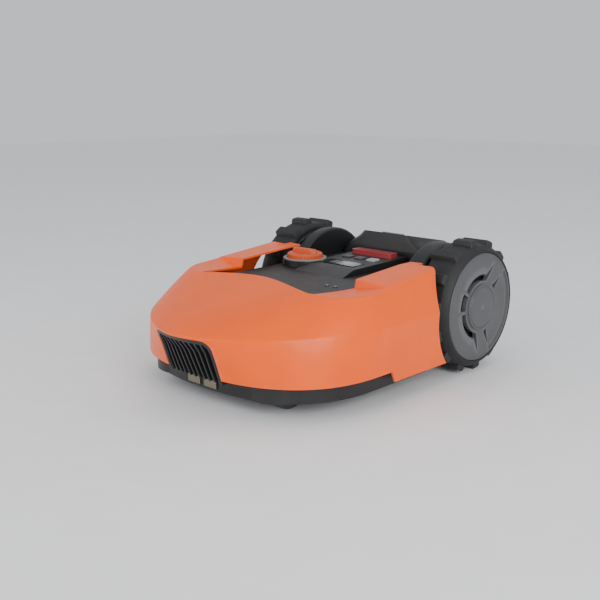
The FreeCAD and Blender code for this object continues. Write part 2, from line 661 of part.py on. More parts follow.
def slotted(hub, side):
    """The wheel disc with its three arc slots and four pointed slots."""
    doc.recompute()
    solid = hub.Shape
    tools = [arc_slot(side, SLOT_AXIS - 14, SLOT_AXIS + 14, 41, 54)]
    for way in (-1, 1):
        low, high = sorted((SLOT_AXIS + way * 21, SLOT_AXIS + way * 84))
        tools.append(arc_slot(side, low, high, 41, 49))
        tools.append(spike(side, SLOT_AXIS + way * 84, SLOT_AXIS + way * 103, 41, 71, 7))
        tools.append(spike(side, SLOT_AXIS + way * 126, SLOT_AXIS + way * 127, 39, 67, 5))
    for tool in tools:
        solid = solid.cut(tool)
    return solid


def lugged(tyre, side):
    """The tyre with chunky lugs, every second one as wide as the tread."""
    doc.recompute()
    solid = tyre.Shape
    count = int(size("lug_count"))
    inner, outer = size("wheel_inner_x"), size("tread_outer_x")
    for number in range(count):
        start, end = (inner if number % 2 else inner + 12), outer
        depth = size("lug_radius") - size("rim_radius") - 4
        lug = Part.makeBox(end - start, size("lug_width"), depth,
                           VECTOR(min(side * start, side * end), behind(-size("lug_width") / 2),
                                  size("axle_z") + size("rim_radius") + 4))
        lug.rotate(VECTOR(0, behind(0), size("axle_z")), VECTOR(1, 0, 0), 360 * number / count + size("lug_start"))
        solid = solid.fuse(lug)
    limit = Part.makeCylinder(size("lug_radius"), 500, VECTOR(-250, behind(0), size("axle_z")), VECTOR(1, 0, 0))
    return solid.common(limit).removeSplitter()


# ---------------------------------------------------------------- casters

def make_caster(side, name):
    """Swivelling fork on a stem, with a small wheel on a pin behind the stem."""
    x, y = caster_place(side)
    wheel_y = f"{y} + caster_trail"
    crown = box("caster_width + 12", "30", "6", (x, f"{y} + 4", "caster_radius + 38"))
    legs = [box("4", "18", "caster_radius + 8",
                (f"{x} + {way} * (caster_width / 2 + 4)", wheel_y, "caster_radius - 6"))
            for way in (-1, 1)]
    legs += [box("4", "30", "5", (f"{x} + {way} * (caster_width / 2 + 4)", f"{y} + 4", "caster_radius + 34"))
             for way in (-1, 1)]
    stem = cylinder("stem_radius", "split_z - caster_radius - 42", (x, y, "caster_radius + 40"))
    pin_hole = cylinder("3", "caster_width + 20", (f"{x} - caster_width / 2 - 10", wheel_y, "caster_radius"), "x")
    part(cut(fuse(crown, *legs, stem), pin_hole), f"caster_fork_{name}")
    part(cylinder("3", "caster_width + 13", (f"{x} - caster_width / 2 - 6.5", wheel_y, "caster_radius"), "x"),
         f"caster_pin_{name}")
    half = "caster_width / 2"
    core = cylinder("caster_radius - 3", "caster_width", (f"{x} - {half}", wheel_y, "caster_radius"), "x")
    ribs = [cylinder("caster_radius", "4", (f"{x} - {half} + {1 + 5.3 * step}", wheel_y, "caster_radius"), "x")
            for step in range(4)]
    bore = cylinder("3.05", "caster_width + 2", (f"{x} - {half} - 1", wheel_y, "caster_radius"), "x")
    part(cut(fuse(core, *ribs), bore), f"caster_wheel_{name}")


# ---------------------------------------------------------------- cutter

def make_cutter():
    """Carrier on two rails, cutting motor, its shaft, the blade disc and three pivoting blades."""
    x, y = CUTTER
    base = "well_roof_z + 6"
    plate = box("124", "112", "4", (f"{x} - 4", f"{y} + 2", base))
    arm = box("26", "40", "4", ("knob_x", "axle_y - knob_y - 16", base))
    collars = [cylinder("8", "14", (*spot, base)) for spot in RAILS]
    nut = cylinder("11", "14", ("knob_x", "axle_y - knob_y", base))
    holes = [cylinder("4.05", "40", (*spot, "well_roof_z")) for spot in RAILS]
    holes.append(cylinder("screw_radius + 0.05", "60", ("knob_x", "axle_y - knob_y", "well_roof_z - 10")))
    holes.append(cylinder("cutter_motor_radius", "40", (x, y, "well_roof_z - 5")))
    part(cut(fuse(plate, arm, *collars, nut), *holes), "cutter_carrier")
    motor = rounded(cylinder("cutter_motor_radius", "58", (x, y, "disc_z + 17")), 3,
                    lambda edge: edge.BoundBox.ZLength < 0.01 and edge.Length > 30)
    part(cut(motor, cylinder("4.05", "80", (x, y, "disc_z"))), "cutter_motor")
    shaft = fuse(cylinder("4", "52", (x, y, "disc_z + disc_thickness")),
                 cylinder("12", "6", (x, y, "disc_z + disc_thickness")))
    part(shaft, "cutter_shaft")
    disc = cylinder("disc_radius", "disc_thickness", (x, y, "disc_z"))
    pins = []
    openings = []
    for number in range(3):
        turn = 120 * number + 90
        across, ahead = math.cos(math.radians(turn)), math.sin(math.radians(turn))
        spot = (f"{x} + blade_pivot * {across:.6f}", f"{y} + blade_pivot * {ahead:.6f}")
        pins.append(fuse(cylinder("2.4", "disc_thickness + 3.2", (*spot, "disc_z - 1.6")),
                         cylinder("5", "1.2", (*spot, "disc_z - 2.8")),
                         cylinder("4", "1.6", (*spot, "disc_z + disc_thickness"))))
        openings.append(cylinder("2.4", "10", (*spot, "disc_z - 4")))
        side = 120 * number + 30
        across, ahead = math.cos(math.radians(side)), math.sin(math.radians(side))
        openings.append(cylinder("13", "10", (f"{x} + 42 * {across:.6f}", f"{y} + 42 * {ahead:.6f}", "disc_z - 4")))
        blade = rounded(box("blade_width", "blade_length", "blade_thickness", (spot[0], f"{spot[1]} + 10", "disc_z - 1.3")),
                        4, upright)
        blade_hole = cylinder("2.45", "10", (*spot, "disc_z - 5"))
        doc.recompute()
        solid = blade.Shape.cut(blade_hole.Shape)
        pivot = VECTOR(size("cutter_x") + size("blade_pivot") * math.cos(math.radians(turn)),
                       behind(-size("cutter_y")) + size("blade_pivot") * math.sin(math.radians(turn)), 0)
        solid.rotate(pivot, VECTOR(0, 0, 1), turn - 90)
        part(shaped(solid, "Blade"), f"blade_{number + 1}")
    part(cut(disc, *openings), "blade_disc")
    part(group(*pins), "blade_screws")


def make_height_knob():
    """Dial for the cutting height, the scale ring round it and the screw below it."""
    x, y = "knob_x", "axle_y - knob_y"
    base_top = "deck_z + knob_base_height"
    pedestal = tube("knob_base_radius", "screw_radius + 1", "knob_base_height", (x, y, "deck_z"))
    part(cut(pedestal, cylinder("knob_radius + 0.6", "4", (x, y, f"{base_top} - 1"))), "knob_base")
    part(tube("knob_base_radius - 0.5", "knob_radius + 0.6", "2.4", (x, y, base_top)), "knob_ring")
    disc = cylinder("knob_radius", "knob_top_z - deck_z - knob_base_height - 6", (x, y, f"{base_top} - 0.6"))
    grip = rounded(box("knob_radius * 1.75", "15", "9", (x, y, "knob_top_z - 9")), 5, upright)
    part(fuse(rounded(disc, 1.5, lambda edge: edge.BoundBox.ZMin > size("knob_top_z") - 12), grip), "height_knob")
    part(cylinder("screw_radius", f"{base_top} - 0.6 - well_roof_z", (x, y, "well_roof_z")), "height_screw")


# ---------------------------------------------------------------- shell

def make_shell():
    """Outer shell with the front opening, the wheel arches, and the bosses of its four pins."""
    wall = shell_solid()
    opening = Part.makeBox(2 * size("grille_half_width"), 60, 80,
                           VECTOR(-size("grille_half_width"), behind(-460), 28))
    arches = [Part.makeCylinder(size("arch_radius"), 80, VECTOR(side * 139, behind(0), size("axle_z")),
                                VECTOR(side, 0, 0)) for side in (-1, 1)]
    for tool in [opening] + arches:
        wall = wall.cut(tool)
    base = size("split_z") + 20
    for x, text in SHELL_PINS:
        y = behind(-float(text.split("-")[1]))
        probe = Part.makeLine(VECTOR(x, y, base), VECTOR(x, y, 250)).common(wall)
        underside = min(vertex.Z for vertex in probe.Vertexes)
        boss = Part.makeCylinder(9, underside - base + 1.5, VECTOR(x, y, base))
        hole = Part.makeCylinder(4, 15, VECTOR(x, y, base))
        wall = wall.fuse(boss).cut(hole)
    part(shaped(wall.removeSplitter(), "ShellWall"), "shell")
    pins = [cylinder("4", "33", (*spot, "split_z - 1")) for spot in SHELL_PINS]
    part(group(*pins), "shell_pins")


def make_grille():
    """Front grille: a back plate that follows the undercut nose, upright ribs and a border."""
    half = size("grille_half_width") - 0.6

    def surface(x, z):
        """The shell's outer surface below its belt."""
        lower, upper = nose_levels()[0:2] if z < nose_levels()[1][3] else nose_levels()[1:3]
        share = (z - lower[3]) / (upper[3] - lower[3])
        wide, reach, exponent = (lower[i] + (upper[i] - lower[i]) * share for i in range(3))
        return behind(-size("widest_y") - reach * (1 - (abs(x) / wide) ** exponent) ** (1 / exponent))

    def slab(depth, thickness, left, right, low, high):
        """A slab that follows the nose, its front face at a depth behind the shell's outer surface."""
        wires = []
        steps = 12 if right - left > 20 else 1
        for z in (low, 87, high) if low < 87 < high else (low, high):
            across = [left + (right - left) * step / steps for step in range(steps + 1)]
            front = [VECTOR(x, surface(x, z) + depth, z) for x in across]
            back = [point + VECTOR(0, thickness, 0) for point in reversed(front)]
            wires.append(Part.makePolygon(front + back + [front[0]]))
        return Part.makeLoft(wires, True, True)

    plate = slab(7, 3.5, -half, half, 44, 107)
    places = [-half + 4 + (2 * half - 8) * step / 10 for step in range(11)]
    pieces = [slab(2, 7, x - 1.6, x + 1.6, 42, 103) for x in places]
    pieces.append(slab(0.6, 9, -half, half, 102, 107.3))
    pieces += [slab(1, 8, min(way * half, way * (half - 4.4)), max(way * half, way * (half - 4.4)), 42, 107.3)
               for way in (-1, 1)]
    part(shaped(plate.multiFuse(pieces).removeSplitter(), "Grille"), "front_grille")


def build():
    make_chassis_base()
    make_chassis_cover()
    make_seal_and_screws()
    make_battery()
    make_boards()
    make_bushes_and_rails()
    make_console()
    make_display()
    make_keys()
    make_stop_button()
    make_rear_cover()
    make_contacts()
    for side, name in ((1, "left"), (-1, "right")):
        make_drive(side, name)
        make_caster(side, name)
    make_cutter()
    make_height_knob()
    make_shell()
    make_grille()


def check_and_write():
    """Stop on any failed object or bad shape, then write each piece to its own file."""
    doc.recompute()
    for obj in doc.Objects:
        if "Invalid" in obj.State or "Error" in obj.State:
            raise SystemExit(f"{obj.Name} ({obj.Label}) failed")
    os.makedirs("parts", exist_ok=True)
    for piece in PARTS:
        shape = piece.Shape
        if shape.isNull() or not shape.isValid() or not shape.Solids:
            raise SystemExit(f"{piece.Label} has no valid shape")
        shape.exportStep(f"parts/{piece.Label}.step")
        print(piece.Label, len(shape.Solids), round(shape.Volume / 1000, 2), "cm3")


build()
check_and_write()
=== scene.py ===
"""Looks of the robotic lawn mower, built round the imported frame.

Lengths are written in millimetres and turned into metres where a mesh is made.  Lengthwise places of the
shell are given from the rear axle.  Each piece rides on the body of the CAD node that it stands for.
"""
import bmesh
import bpy
import json
import math
from functools import partial
from mathutils import Matrix, Vector

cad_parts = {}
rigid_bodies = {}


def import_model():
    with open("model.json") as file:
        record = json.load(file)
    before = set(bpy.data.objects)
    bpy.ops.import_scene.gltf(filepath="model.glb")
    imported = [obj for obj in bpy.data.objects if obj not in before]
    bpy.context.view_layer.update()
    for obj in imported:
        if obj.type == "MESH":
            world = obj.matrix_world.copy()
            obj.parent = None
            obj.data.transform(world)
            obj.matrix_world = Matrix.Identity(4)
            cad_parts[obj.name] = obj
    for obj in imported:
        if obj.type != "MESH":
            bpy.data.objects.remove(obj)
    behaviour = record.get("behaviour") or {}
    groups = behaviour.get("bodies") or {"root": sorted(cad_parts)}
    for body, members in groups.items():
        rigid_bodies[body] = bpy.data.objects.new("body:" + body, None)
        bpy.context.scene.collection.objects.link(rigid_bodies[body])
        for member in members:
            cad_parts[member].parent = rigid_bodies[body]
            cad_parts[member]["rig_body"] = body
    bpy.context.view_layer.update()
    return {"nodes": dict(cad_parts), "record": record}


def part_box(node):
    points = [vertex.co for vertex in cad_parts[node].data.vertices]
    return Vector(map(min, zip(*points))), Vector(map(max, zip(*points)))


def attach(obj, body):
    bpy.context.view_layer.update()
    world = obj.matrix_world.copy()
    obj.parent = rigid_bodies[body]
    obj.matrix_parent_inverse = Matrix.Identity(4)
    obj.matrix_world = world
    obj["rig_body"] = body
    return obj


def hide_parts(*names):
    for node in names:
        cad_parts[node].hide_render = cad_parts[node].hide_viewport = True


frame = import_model()

MM = 0.001
NODES = frame["nodes"]
SLOTS = {item["node"]: item["material_slot"] for item in frame["record"]["subparts"]}
SIDES = ((1, "left"), (-1, "right"))


def middle(node):
    low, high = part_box(node)
    return (low + high) / 2 / MM


def radius_of(node):
    """Radius of a CAD node that is round about an axis lying across the machine."""
    low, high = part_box(node)
    return (high.z - low.z) / 2 / MM


AXLE_Y, AXLE_Z = middle("tyre_left").y, middle("tyre_left").z
AXLE = (0, AXLE_Y, AXLE_Z)
TYRE_R, HUB_R = radius_of("tyre_left"), radius_of("wheel_hub_left")
HUB_IN, HUB_OUT = (corner.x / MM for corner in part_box("wheel_hub_left"))
BELT_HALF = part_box("shell")[1].x / MM
POLE = 0.01                     # radius at which a turned surface closes on its axis

SHARP = 32                      # degrees; a steeper edge is shaded as an edge, and bevelled
MERGE = 2e-6                    # metres; corners of a CAD mesh closer than this are one
FLAT = 0.6                      # degrees; neighbouring CAD triangles within this are one face
PIERCED = (                     # nodes whose flat faces have holes that a joined face would lose
    "chassis_cover", "chassis_base", "console_panel", "chassis_seal", "rear_cover", "display_window",
)


# ---------------------------------------------------------------- mesh helpers

def linked(name, data):
    """An object in the scene for a mesh, a light or a camera."""
    obj = bpy.data.objects.new(name, data)
    bpy.context.scene.collection.objects.link(obj)
    return obj


def piece(name, verts, faces, node):
    """A mesh in millimetres as an object that stands for a CAD node, if one is given."""
    mesh = bpy.data.meshes.new(name)
    mesh.from_pydata([Vector(v) * MM for v in verts], [], faces)
    mesh.validate()
    work = bmesh.new()
    work.from_mesh(mesh)
    bmesh.ops.recalc_face_normals(work, faces=work.faces)
    work.to_mesh(mesh)
    work.free()
    obj = linked(name, mesh)
    if node:
        stand_for(obj, node)
    smooth(obj)
    return obj


def stand_for(obj, *nodes):
    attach(obj, NODES[nodes[0]]["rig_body"])
    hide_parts(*nodes)


def smooth(obj):
    obj.data.shade_smooth()
    obj.data.set_sharp_from_angle(angle=math.radians(SHARP))


def bevel(obj, width, segments=3, angle=SHARP):
    """Round the edges of an object; width in millimetres."""
    tool = obj.modifiers.new("edges", "BEVEL")
    tool.width = width * MM
    tool.segments = segments
    tool.limit_method = "ANGLE"
    tool.angle_limit = math.radians(angle)
    tool.harden_normals = True
    tool.miter_outer = "MITER_ARC"
    return obj


def applied(obj):
    """Replace an object's mesh by what its modifiers make of it."""
    view = bpy.context.evaluated_depsgraph_get()
    mesh = bpy.data.meshes.new_from_object(obj.evaluated_get(view))
    obj.modifiers.clear()
    obj.data = mesh
    smooth(obj)
    return obj


def carved(obj, *tools):
    """Cut tools out of an object, and remove the tools."""
    for tool in tools:
        cut = obj.modifiers.new("cut", "BOOLEAN")
        cut.operation = "DIFFERENCE"
        cut.solver = "EXACT"
        cut.object = tool
    bpy.context.view_layer.update()
    applied(obj)
    for tool in tools:
        bpy.data.objects.remove(tool)
    return obj


def taken(obj):
    """Vertices in millimetres and faces of an object, which is removed."""
    verts = [vertex.co / MM for vertex in obj.data.vertices]
    faces = [tuple(face.vertices) for face in obj.data.polygons]
    bpy.data.objects.remove(obj)
    return verts, faces


def refined(node, width):
    """A piece with a CAD node's own shape, its flat faces whole again and its edges rounded."""
    mesh = NODES[node].data.copy()
    work = bmesh.new()
    work.from_mesh(mesh)
    bmesh.ops.remove_doubles(work, verts=work.verts, dist=MERGE)
    if node not in PIERCED:
        bmesh.ops.dissolve_limit(work, angle_limit=math.radians(FLAT), verts=work.verts, edges=work.edges)
    work.to_mesh(mesh)
    work.free()
    if "custom_normal" in mesh.attributes:
        mesh.attributes.remove(mesh.attributes["custom_normal"])
    obj = linked(node + "_piece", mesh)
    stand_for(obj, node)
    smooth(obj)
    return bevel(obj, width, 2)


def grid(rows, closed_across=False, closed_along=False):
    """Vertices and faces of a grid of points, joined to itself across or along where wanted."""
    count, width = len(rows), len(rows[0])
    verts = [point for row in rows for point in row]
    faces = []
    for i in range(count if closed_along else count - 1):
        for j in range(width if closed_across else width - 1):
            after, beside = (i + 1) % count, (j + 1) % width
            faces.append((i * width + j, i * width + beside, after * width + beside, after * width + j))
    return verts, faces


def rounded_line(points, radii, between):
    """A line through corner points, each inner corner rounded, with extra points on the straights between."""
    steps, most = 4, 0.45       # a rounding takes at most this share of the straight beside it
    line = [points[0]]
    for index in range(1, len(points) - 1):
        before, corner, after = points[index - 1], points[index], points[index + 1]
        reach_in = min(radii[index], most * (corner - before).length)
        reach_out = min(radii[index], most * (after - corner).length)
        start = corner + (before - corner).normalized() * reach_in
        end = corner + (after - corner).normalized() * reach_out
        last = line[-1]
        line += [last.lerp(start, step / (between + 1)) for step in range(1, between + 1)]
        for step in range(steps + 1):
            share = step / steps
            line.append(start.lerp(corner, share).lerp(corner.lerp(end, share), share))
    last = line[-1]
    line += [last.lerp(points[-1], step / (between + 1)) for step in range(1, between + 2)]
    return line


def lathe(name, outline, centre, node, axis="x", side=1, segments=96, radii=None, closed=True, wobble=None):
    """An outline of (distance along the axis, radius) pairs, turned about an axis through centre."""
    points = [Vector((along, radius, 0)) for along, radius in outline]
    if radii:
        points = rounded_line(points + [points[0]], list(radii) + [0], between=1)[:-1]
    rows = []
    for step in range(segments):
        turn = 2 * math.pi * step / segments
        row = []
        for point in points:
            radius = point.y + (wobble(turn, point) if wobble else 0)
            u, v = radius * math.cos(turn), radius * math.sin(turn)
            place = {"x": (side * point.x, u, v), "z": (u, v, point.x)}[axis]
            row.append(Vector(centre) + Vector(place))
        rows.append(row)
    verts, faces = grid(rows, closed_across=closed, closed_along=True)
    return piece(name, verts, faces, node)


def joined(parts):
    """One list of vertices and faces from several."""
    verts, faces = [], []
    for more, their in parts:
        start = len(verts)
        verts += more
        faces += [tuple(start + index for index in face) for face in their]
    return verts, faces


def prism(name, outline, axis, start, end):
    """A cutting tool: a flat outline pushed along x or y."""
    def at(point, along):
        return (along, point[0], point[1]) if axis == "x" else (point[0], along, point[1])
    count = len(outline)
    verts = [at(point, start) for point in outline] + [at(point, end) for point in outline]
    faces = [tuple(range(count)), tuple(range(2 * count - 1, count - 1, -1))]
    faces += [(i, (i + 1) % count, count + (i + 1) % count, count + i) for i in range(count)]
    return piece(name, verts, faces, None)


def polar(angle, radius):
    """Place in the wheel's plane, by angle from the rear upwards and distance from the rear axle."""
    turn = math.radians(angle)
    return AXLE_Y + radius * math.cos(turn), AXLE_Z + radius * math.sin(turn)


def eased(value, start, end):
    """Share of the way from start to end, kept between 0 and 1."""
    return min(1, max(0, (value - start) / (end - start)))


# ---------------------------------------------------------------- materials

COAT_ROUGHNESS = 0.12
GRAIN_DEPTH = 0.0004            # metres


def tuned(colour, factor):
    return tuple(min(1, channel * factor) for channel in colour) + (1,)


def surface(name, colour, rough, vary=0.08, grain=0.1, grain_size=1100, metal=0.0, coat=0.0, painted_edge_highlight=0.0,
            patch=18, stretch=(1, 1, 1), specular=0.5):
    """A moulded or machined surface: mottled colour, uneven gloss, fine grain and a painted highlight that
    makes sharp edges paler.
    """
    material = bpy.data.materials.new(name)
    material.use_nodes = True
    nodes, links = material.node_tree.nodes, material.node_tree.links
    shader = nodes["Principled BSDF"]
    shader.inputs["Metallic"].default_value = metal
    shader.inputs["Coat Weight"].default_value = coat
    shader.inputs["Coat Roughness"].default_value = COAT_ROUGHNESS
    shader.inputs["Specular IOR Level"].default_value = specular
    place = nodes.new("ShaderNodeTexCoord")
    shift = nodes.new("ShaderNodeMapping")
    shift.inputs["Scale"].default_value = stretch
    links.new(place.outputs["Object"], shift.inputs["Vector"])

    def noise(scale, detail, roughness=0.5):
        node = nodes.new("ShaderNodeTexNoise")
        node.inputs["Scale"].default_value = scale
        node.inputs["Detail"].default_value = detail
        node.inputs["Roughness"].default_value = roughness
        links.new(shift.outputs["Vector"], node.inputs["Vector"])
        return node.outputs["Fac"]

    ramp = nodes.new("ShaderNodeValToRGB")
    ramp.color_ramp.elements[0].position, ramp.color_ramp.elements[1].position = 0.35, 0.65
    ramp.color_ramp.elements[0].color = tuned(colour, 1 - vary)
    ramp.color_ramp.elements[1].color = tuned(colour, 1 + vary)
    links.new(noise(patch, 3), ramp.inputs["Fac"])
    tone = ramp.outputs["Color"]
    # Painted highlight: convex edges, found by pointiness, are painted paler to stand in for the light rims
    # that edges catch.
    if painted_edge_highlight:
        shape = nodes.new("ShaderNodeNewGeometry")
        edge = nodes.new("ShaderNodeMapRange")
        edge.inputs["From Min"].default_value, edge.inputs["From Max"].default_value = 0.52, 0.6
        edge.inputs["To Max"].default_value = painted_edge_highlight
        links.new(shape.outputs["Pointiness"], edge.inputs["Value"])
        mix = nodes.new("ShaderNodeMix")
        mix.data_type = "RGBA"
        plain, pale = (socket for socket in mix.inputs if socket.type == "RGBA")
        pale.default_value = tuned([0.3 + 0.7 * channel for channel in colour], 1)
        links.new(tone, plain)
        links.new(edge.outputs["Result"], mix.inputs["Factor"])
        tone = [socket for socket in mix.outputs if socket.type == "RGBA"][0]
    links.new(tone, shader.inputs["Base Color"])
    gloss = nodes.new("ShaderNodeMapRange")
    gloss.inputs["To Min"].default_value = max(0.03, rough - 0.06)
    gloss.inputs["To Max"].default_value = min(1, rough + 0.08)
    links.new(noise(60, 4), gloss.inputs["Value"])
    links.new(gloss.outputs["Result"], shader.inputs["Roughness"])
    bump = nodes.new("ShaderNodeBump")
    bump.inputs["Strength"].default_value = grain
    bump.inputs["Distance"].default_value = GRAIN_DEPTH
    links.new(noise(grain_size, 2, 0.6), bump.inputs["Height"])
    links.new(bump.outputs["Normal"], shader.inputs["Normal"])
    return material


MATERIALS = {                   # slot: name, colour, roughness, mottling, grain, fineness of the grain
    "orange_shell": surface("orange_gloss", (0.98, 0.112, 0.0), 0.36, 0.03, 0.03, 1500, coat=0.08, painted_edge_highlight=0.12,
                            specular=0.25),
    # Painted shade: the knob's orange is painted darker than the shell's, for the shade it sits in.
    "orange_knob": surface("orange_knob_painted_shade", (0.6, 0.07, 0.0), 0.42, 0.05, 0.08, painted_edge_highlight=0.25),
    "black_plastic": surface("black_moulded", (0.006, 0.0063, 0.007), 0.45, 0.2, 0.22, 1300, painted_edge_highlight=0.08),
    "console_plastic": surface("console_moulded", (0.008, 0.0085, 0.0095), 0.4, 0.15, 0.18, 1300, painted_edge_highlight=0.08),
    "cover_plastic": surface("cover_moulded", (0.014, 0.0145, 0.016), 0.42, 0.14, 0.22, 1200, painted_edge_highlight=0.1),
    "badge_grey": surface("badge_satin", (0.22, 0.22, 0.225), 0.3, 0.05, 0.05, painted_edge_highlight=0.2),
    "display_glass": surface("display_glass", (0.008, 0.009, 0.01), 0.08, 0.1, 0.0, coat=0.6),
    "display_panel": surface("display_panel", (0.2, 0.24, 0.2), 0.5, 0.06, 0.05),
    "stop_red": surface("stop_red_plastic", (0.3, 0.006, 0.01), 0.33, 0.06, 0.06, coat=0.2, painted_edge_highlight=0.35),
    "component_black": surface("component_black", (0.015, 0.015, 0.016), 0.5, 0.15, 0.2),
    "key_grey": surface("key_dark", (0.035, 0.036, 0.04), 0.42, 0.1, 0.12, painted_edge_highlight=0.1),
    "key_pale": surface("key_pale", (0.34, 0.35, 0.36), 0.4, 0.05, 0.08, painted_edge_highlight=0.1),
    "ring_grey": surface("ring_pale", (0.2, 0.2, 0.205), 0.4, 0.05, 0.08, painted_edge_highlight=0.1),
    "rubber_parts": surface("rubber_soft", (0.012, 0.012, 0.012), 0.72, 0.2, 0.4, 700),
    "steel": surface("steel_turned", (0.55, 0.56, 0.58), 0.3, 0.08, 0.12, 500, metal=1.0, stretch=(1, 1, 6)),
    "disc_metal": surface("disc_zinc", (0.5, 0.51, 0.53), 0.36, 0.12, 0.15, 400, metal=1.0, patch=60),
    "blade_steel": surface("blade_ground", (0.62, 0.63, 0.65), 0.24, 0.08, 0.2, 500, metal=1.0,
                           stretch=(6, 1, 1)),
    "battery_case": surface("battery_case", (0.02, 0.022, 0.026), 0.5, 0.15, 0.2),
    "circuit_board": surface("circuit_board", (0.02, 0.12, 0.05), 0.42, 0.15, 0.12),
    "contact_metal": surface("contact_plated", (0.22, 0.2, 0.15), 0.28, 0.08, 0.12, 500, metal=1.0),
    "bush_bronze": surface("bush_bronze", (0.55, 0.36, 0.16), 0.4, 0.12, 0.15, 500, metal=1.0),
    "motor_metal": surface("motor_can", (0.42, 0.43, 0.45), 0.34, 0.1, 0.12, 500, metal=1.0,
                           stretch=(4, 1, 1)),
    "hub_grey": surface("hub_moulded", (0.07, 0.071, 0.075), 0.46, 0.07, 0.2, 1100, painted_edge_highlight=0.12),
    "caster_grey": surface("caster_moulded", (0.045, 0.046, 0.05), 0.48, 0.12, 0.2, painted_edge_highlight=0.1),
    "tyre_rubber": surface("tyre_rubber", (0.009, 0.0093, 0.01), 0.62, 0.22, 0.4, 600, painted_edge_highlight=0.1),
}


def lit_display():
    """Dark glass with the grey-green panel showing through its middle."""
    material = surface("display_lit", (0.008, 0.009, 0.01), 0.1, 0.1, 0.02, coat=0.5)
    nodes, links = material.node_tree.nodes, material.node_tree.links
    shader = nodes["Principled BSDF"]
    dark = shader.inputs["Base Color"].links[0].from_socket
    centre = middle("display_window") * MM
    place = nodes.new("ShaderNodeTexCoord")
    split = nodes.new("ShaderNodeSeparateXYZ")
    links.new(place.outputs["Object"], split.inputs["Vector"])
    tests = []
    for axis, spot, half in (("X", centre.x, 0.021), ("Y", centre.y + 0.001, 0.009)):
        test = nodes.new("ShaderNodeMath")
        test.operation = "COMPARE"
        test.inputs[1].default_value, test.inputs[2].default_value = spot, half
        links.new(split.outputs[axis], test.inputs[0])
        tests.append(test)
    inside = nodes.new("ShaderNodeMath")
    inside.operation = "MULTIPLY"
    for test, socket in zip(tests, inside.inputs):
        links.new(test.outputs["Value"], socket)
    cells = nodes.new("ShaderNodeTexNoise")
    cells.inputs["Scale"].default_value = 90
    links.new(place.outputs["Object"], cells.inputs["Vector"])
    panel = nodes.new("ShaderNodeValToRGB")
    panel.color_ramp.elements[0].color = (0.17, 0.185, 0.15, 1)
    panel.color_ramp.elements[1].color = (0.25, 0.27, 0.22, 1)
    links.new(cells.outputs["Fac"], panel.inputs["Fac"])
    mix = nodes.new("ShaderNodeMixRGB")
    links.new(inside.outputs["Value"], mix.inputs["Fac"])
    links.new(dark, mix.inputs["Color1"])
    links.new(panel.outputs["Color"], mix.inputs["Color2"])
    links.new(mix.outputs["Color"], shader.inputs["Base Color"])
    return material


def dress(obj, slot):
    obj.data.materials.clear()
    obj.data.materials.append(MATERIALS[slot])
    return obj


# ---------------------------------------------------------------- shell and grille

WALL = 3.0                      # thickness of the shell
WIDEST = 240                    # widest place of the shell, ahead of the axle
NOSE_ROWS = (                   # half width, reach from the widest place, exponent, height, rise to the sides
    (BELT_HALF - 2.5, 171, 2.5, 49, 0),
    (BELT_HALF - 1, 187, 2.05, 87, 0),
    (BELT_HALF, 206, 1.68, 112, 3),
    (BELT_HALF - 9, 160, 1.75, 129.5, 9),
    (BELT_HALF - 22, 100, 1.85, 148, 12),
)
PROFILE_RADII = (0, 26, 3.2, 16, 9, 0)
SIDE_STATIONS = (               # distances ahead of the axle at which the sides are shaped
    73, 80, 88, 96, 104, 112, 124, 136, 150, 164, 178, 190,
    200, 204.5, 205.5, 206.5, 207.5, 211, 218, 226, 233,
)
NOSE_TURN = 3                   # degrees between the stations round the nose
SKIRT_REAR, SKIRT_FRONT = 33, 49                # heights of the lower edge, near the wheels and ahead
SHOULDER = 206                  # where the raised rear shoulder starts, ahead of the axle
DECK_HALF = 119                 # half width of the deck opening
HOOD_Y, HOOD_Z = -276, 165.5    # the hood's edge at its middle
HOOD_SWEEP, HOOD_DROP = 20, 6.5                 # how far it runs forwards and down from there to the corners
CORNER, CORNER_SPREAD = 0.9, 0.08               # share of the width where it turns back, rounding's reach
CORNER_BACK, CORNER_IN = 5, 3   # what the rounding takes off
RETURN_BACK, RETURN_DROP = 56, 3                # from the corner back to the sides' first station
OPENING_HALF, OPENING_TOP, OPENING_FOOT, OPENING_CORNER = 56, 108, 20, 13      # the grille's opening
OPENING_CUT = (-470, -400)      # the opening is cut between these places, from the axle
ARCH_R, ARCH_IN, ARCH_OUT = 112, 139, 230       # wheel arches, cut between these widths


def nose_rows(turn):
    """Points of the nose at a turn from straight ahead, from its lower edge to the hood's edge."""
    side = abs(math.sin(turn))
    rows = []
    for half, reach, exponent, height, rise in NOSE_ROWS:
        x = math.copysign(side ** (2 / exponent), turn) * half
        y = -WIDEST - abs(math.cos(turn)) ** (2 / exponent) * reach
        rows.append(Vector((x, y, height + rise * side ** 2)))
    across = DECK_HALF * min(1, side / CORNER)
    share = across / DECK_HALF
    y, z = HOOD_Y - HOOD_SWEEP * share ** 2 * (3 - 2 * share), HOOD_Z - HOOD_DROP * share ** 2
    rounding = 1 - abs(side - CORNER) / CORNER_SPREAD
    if rounding > 0:
        y += CORNER_BACK * rounding
        across -= CORNER_IN * rounding
    if side > CORNER:
        back = (side - CORNER) / (1 - CORNER)
        y, z = y + RETURN_BACK * back, z - RETURN_DROP * back
    rows.append(Vector((math.copysign(across, turn), y, z)))
    return rows


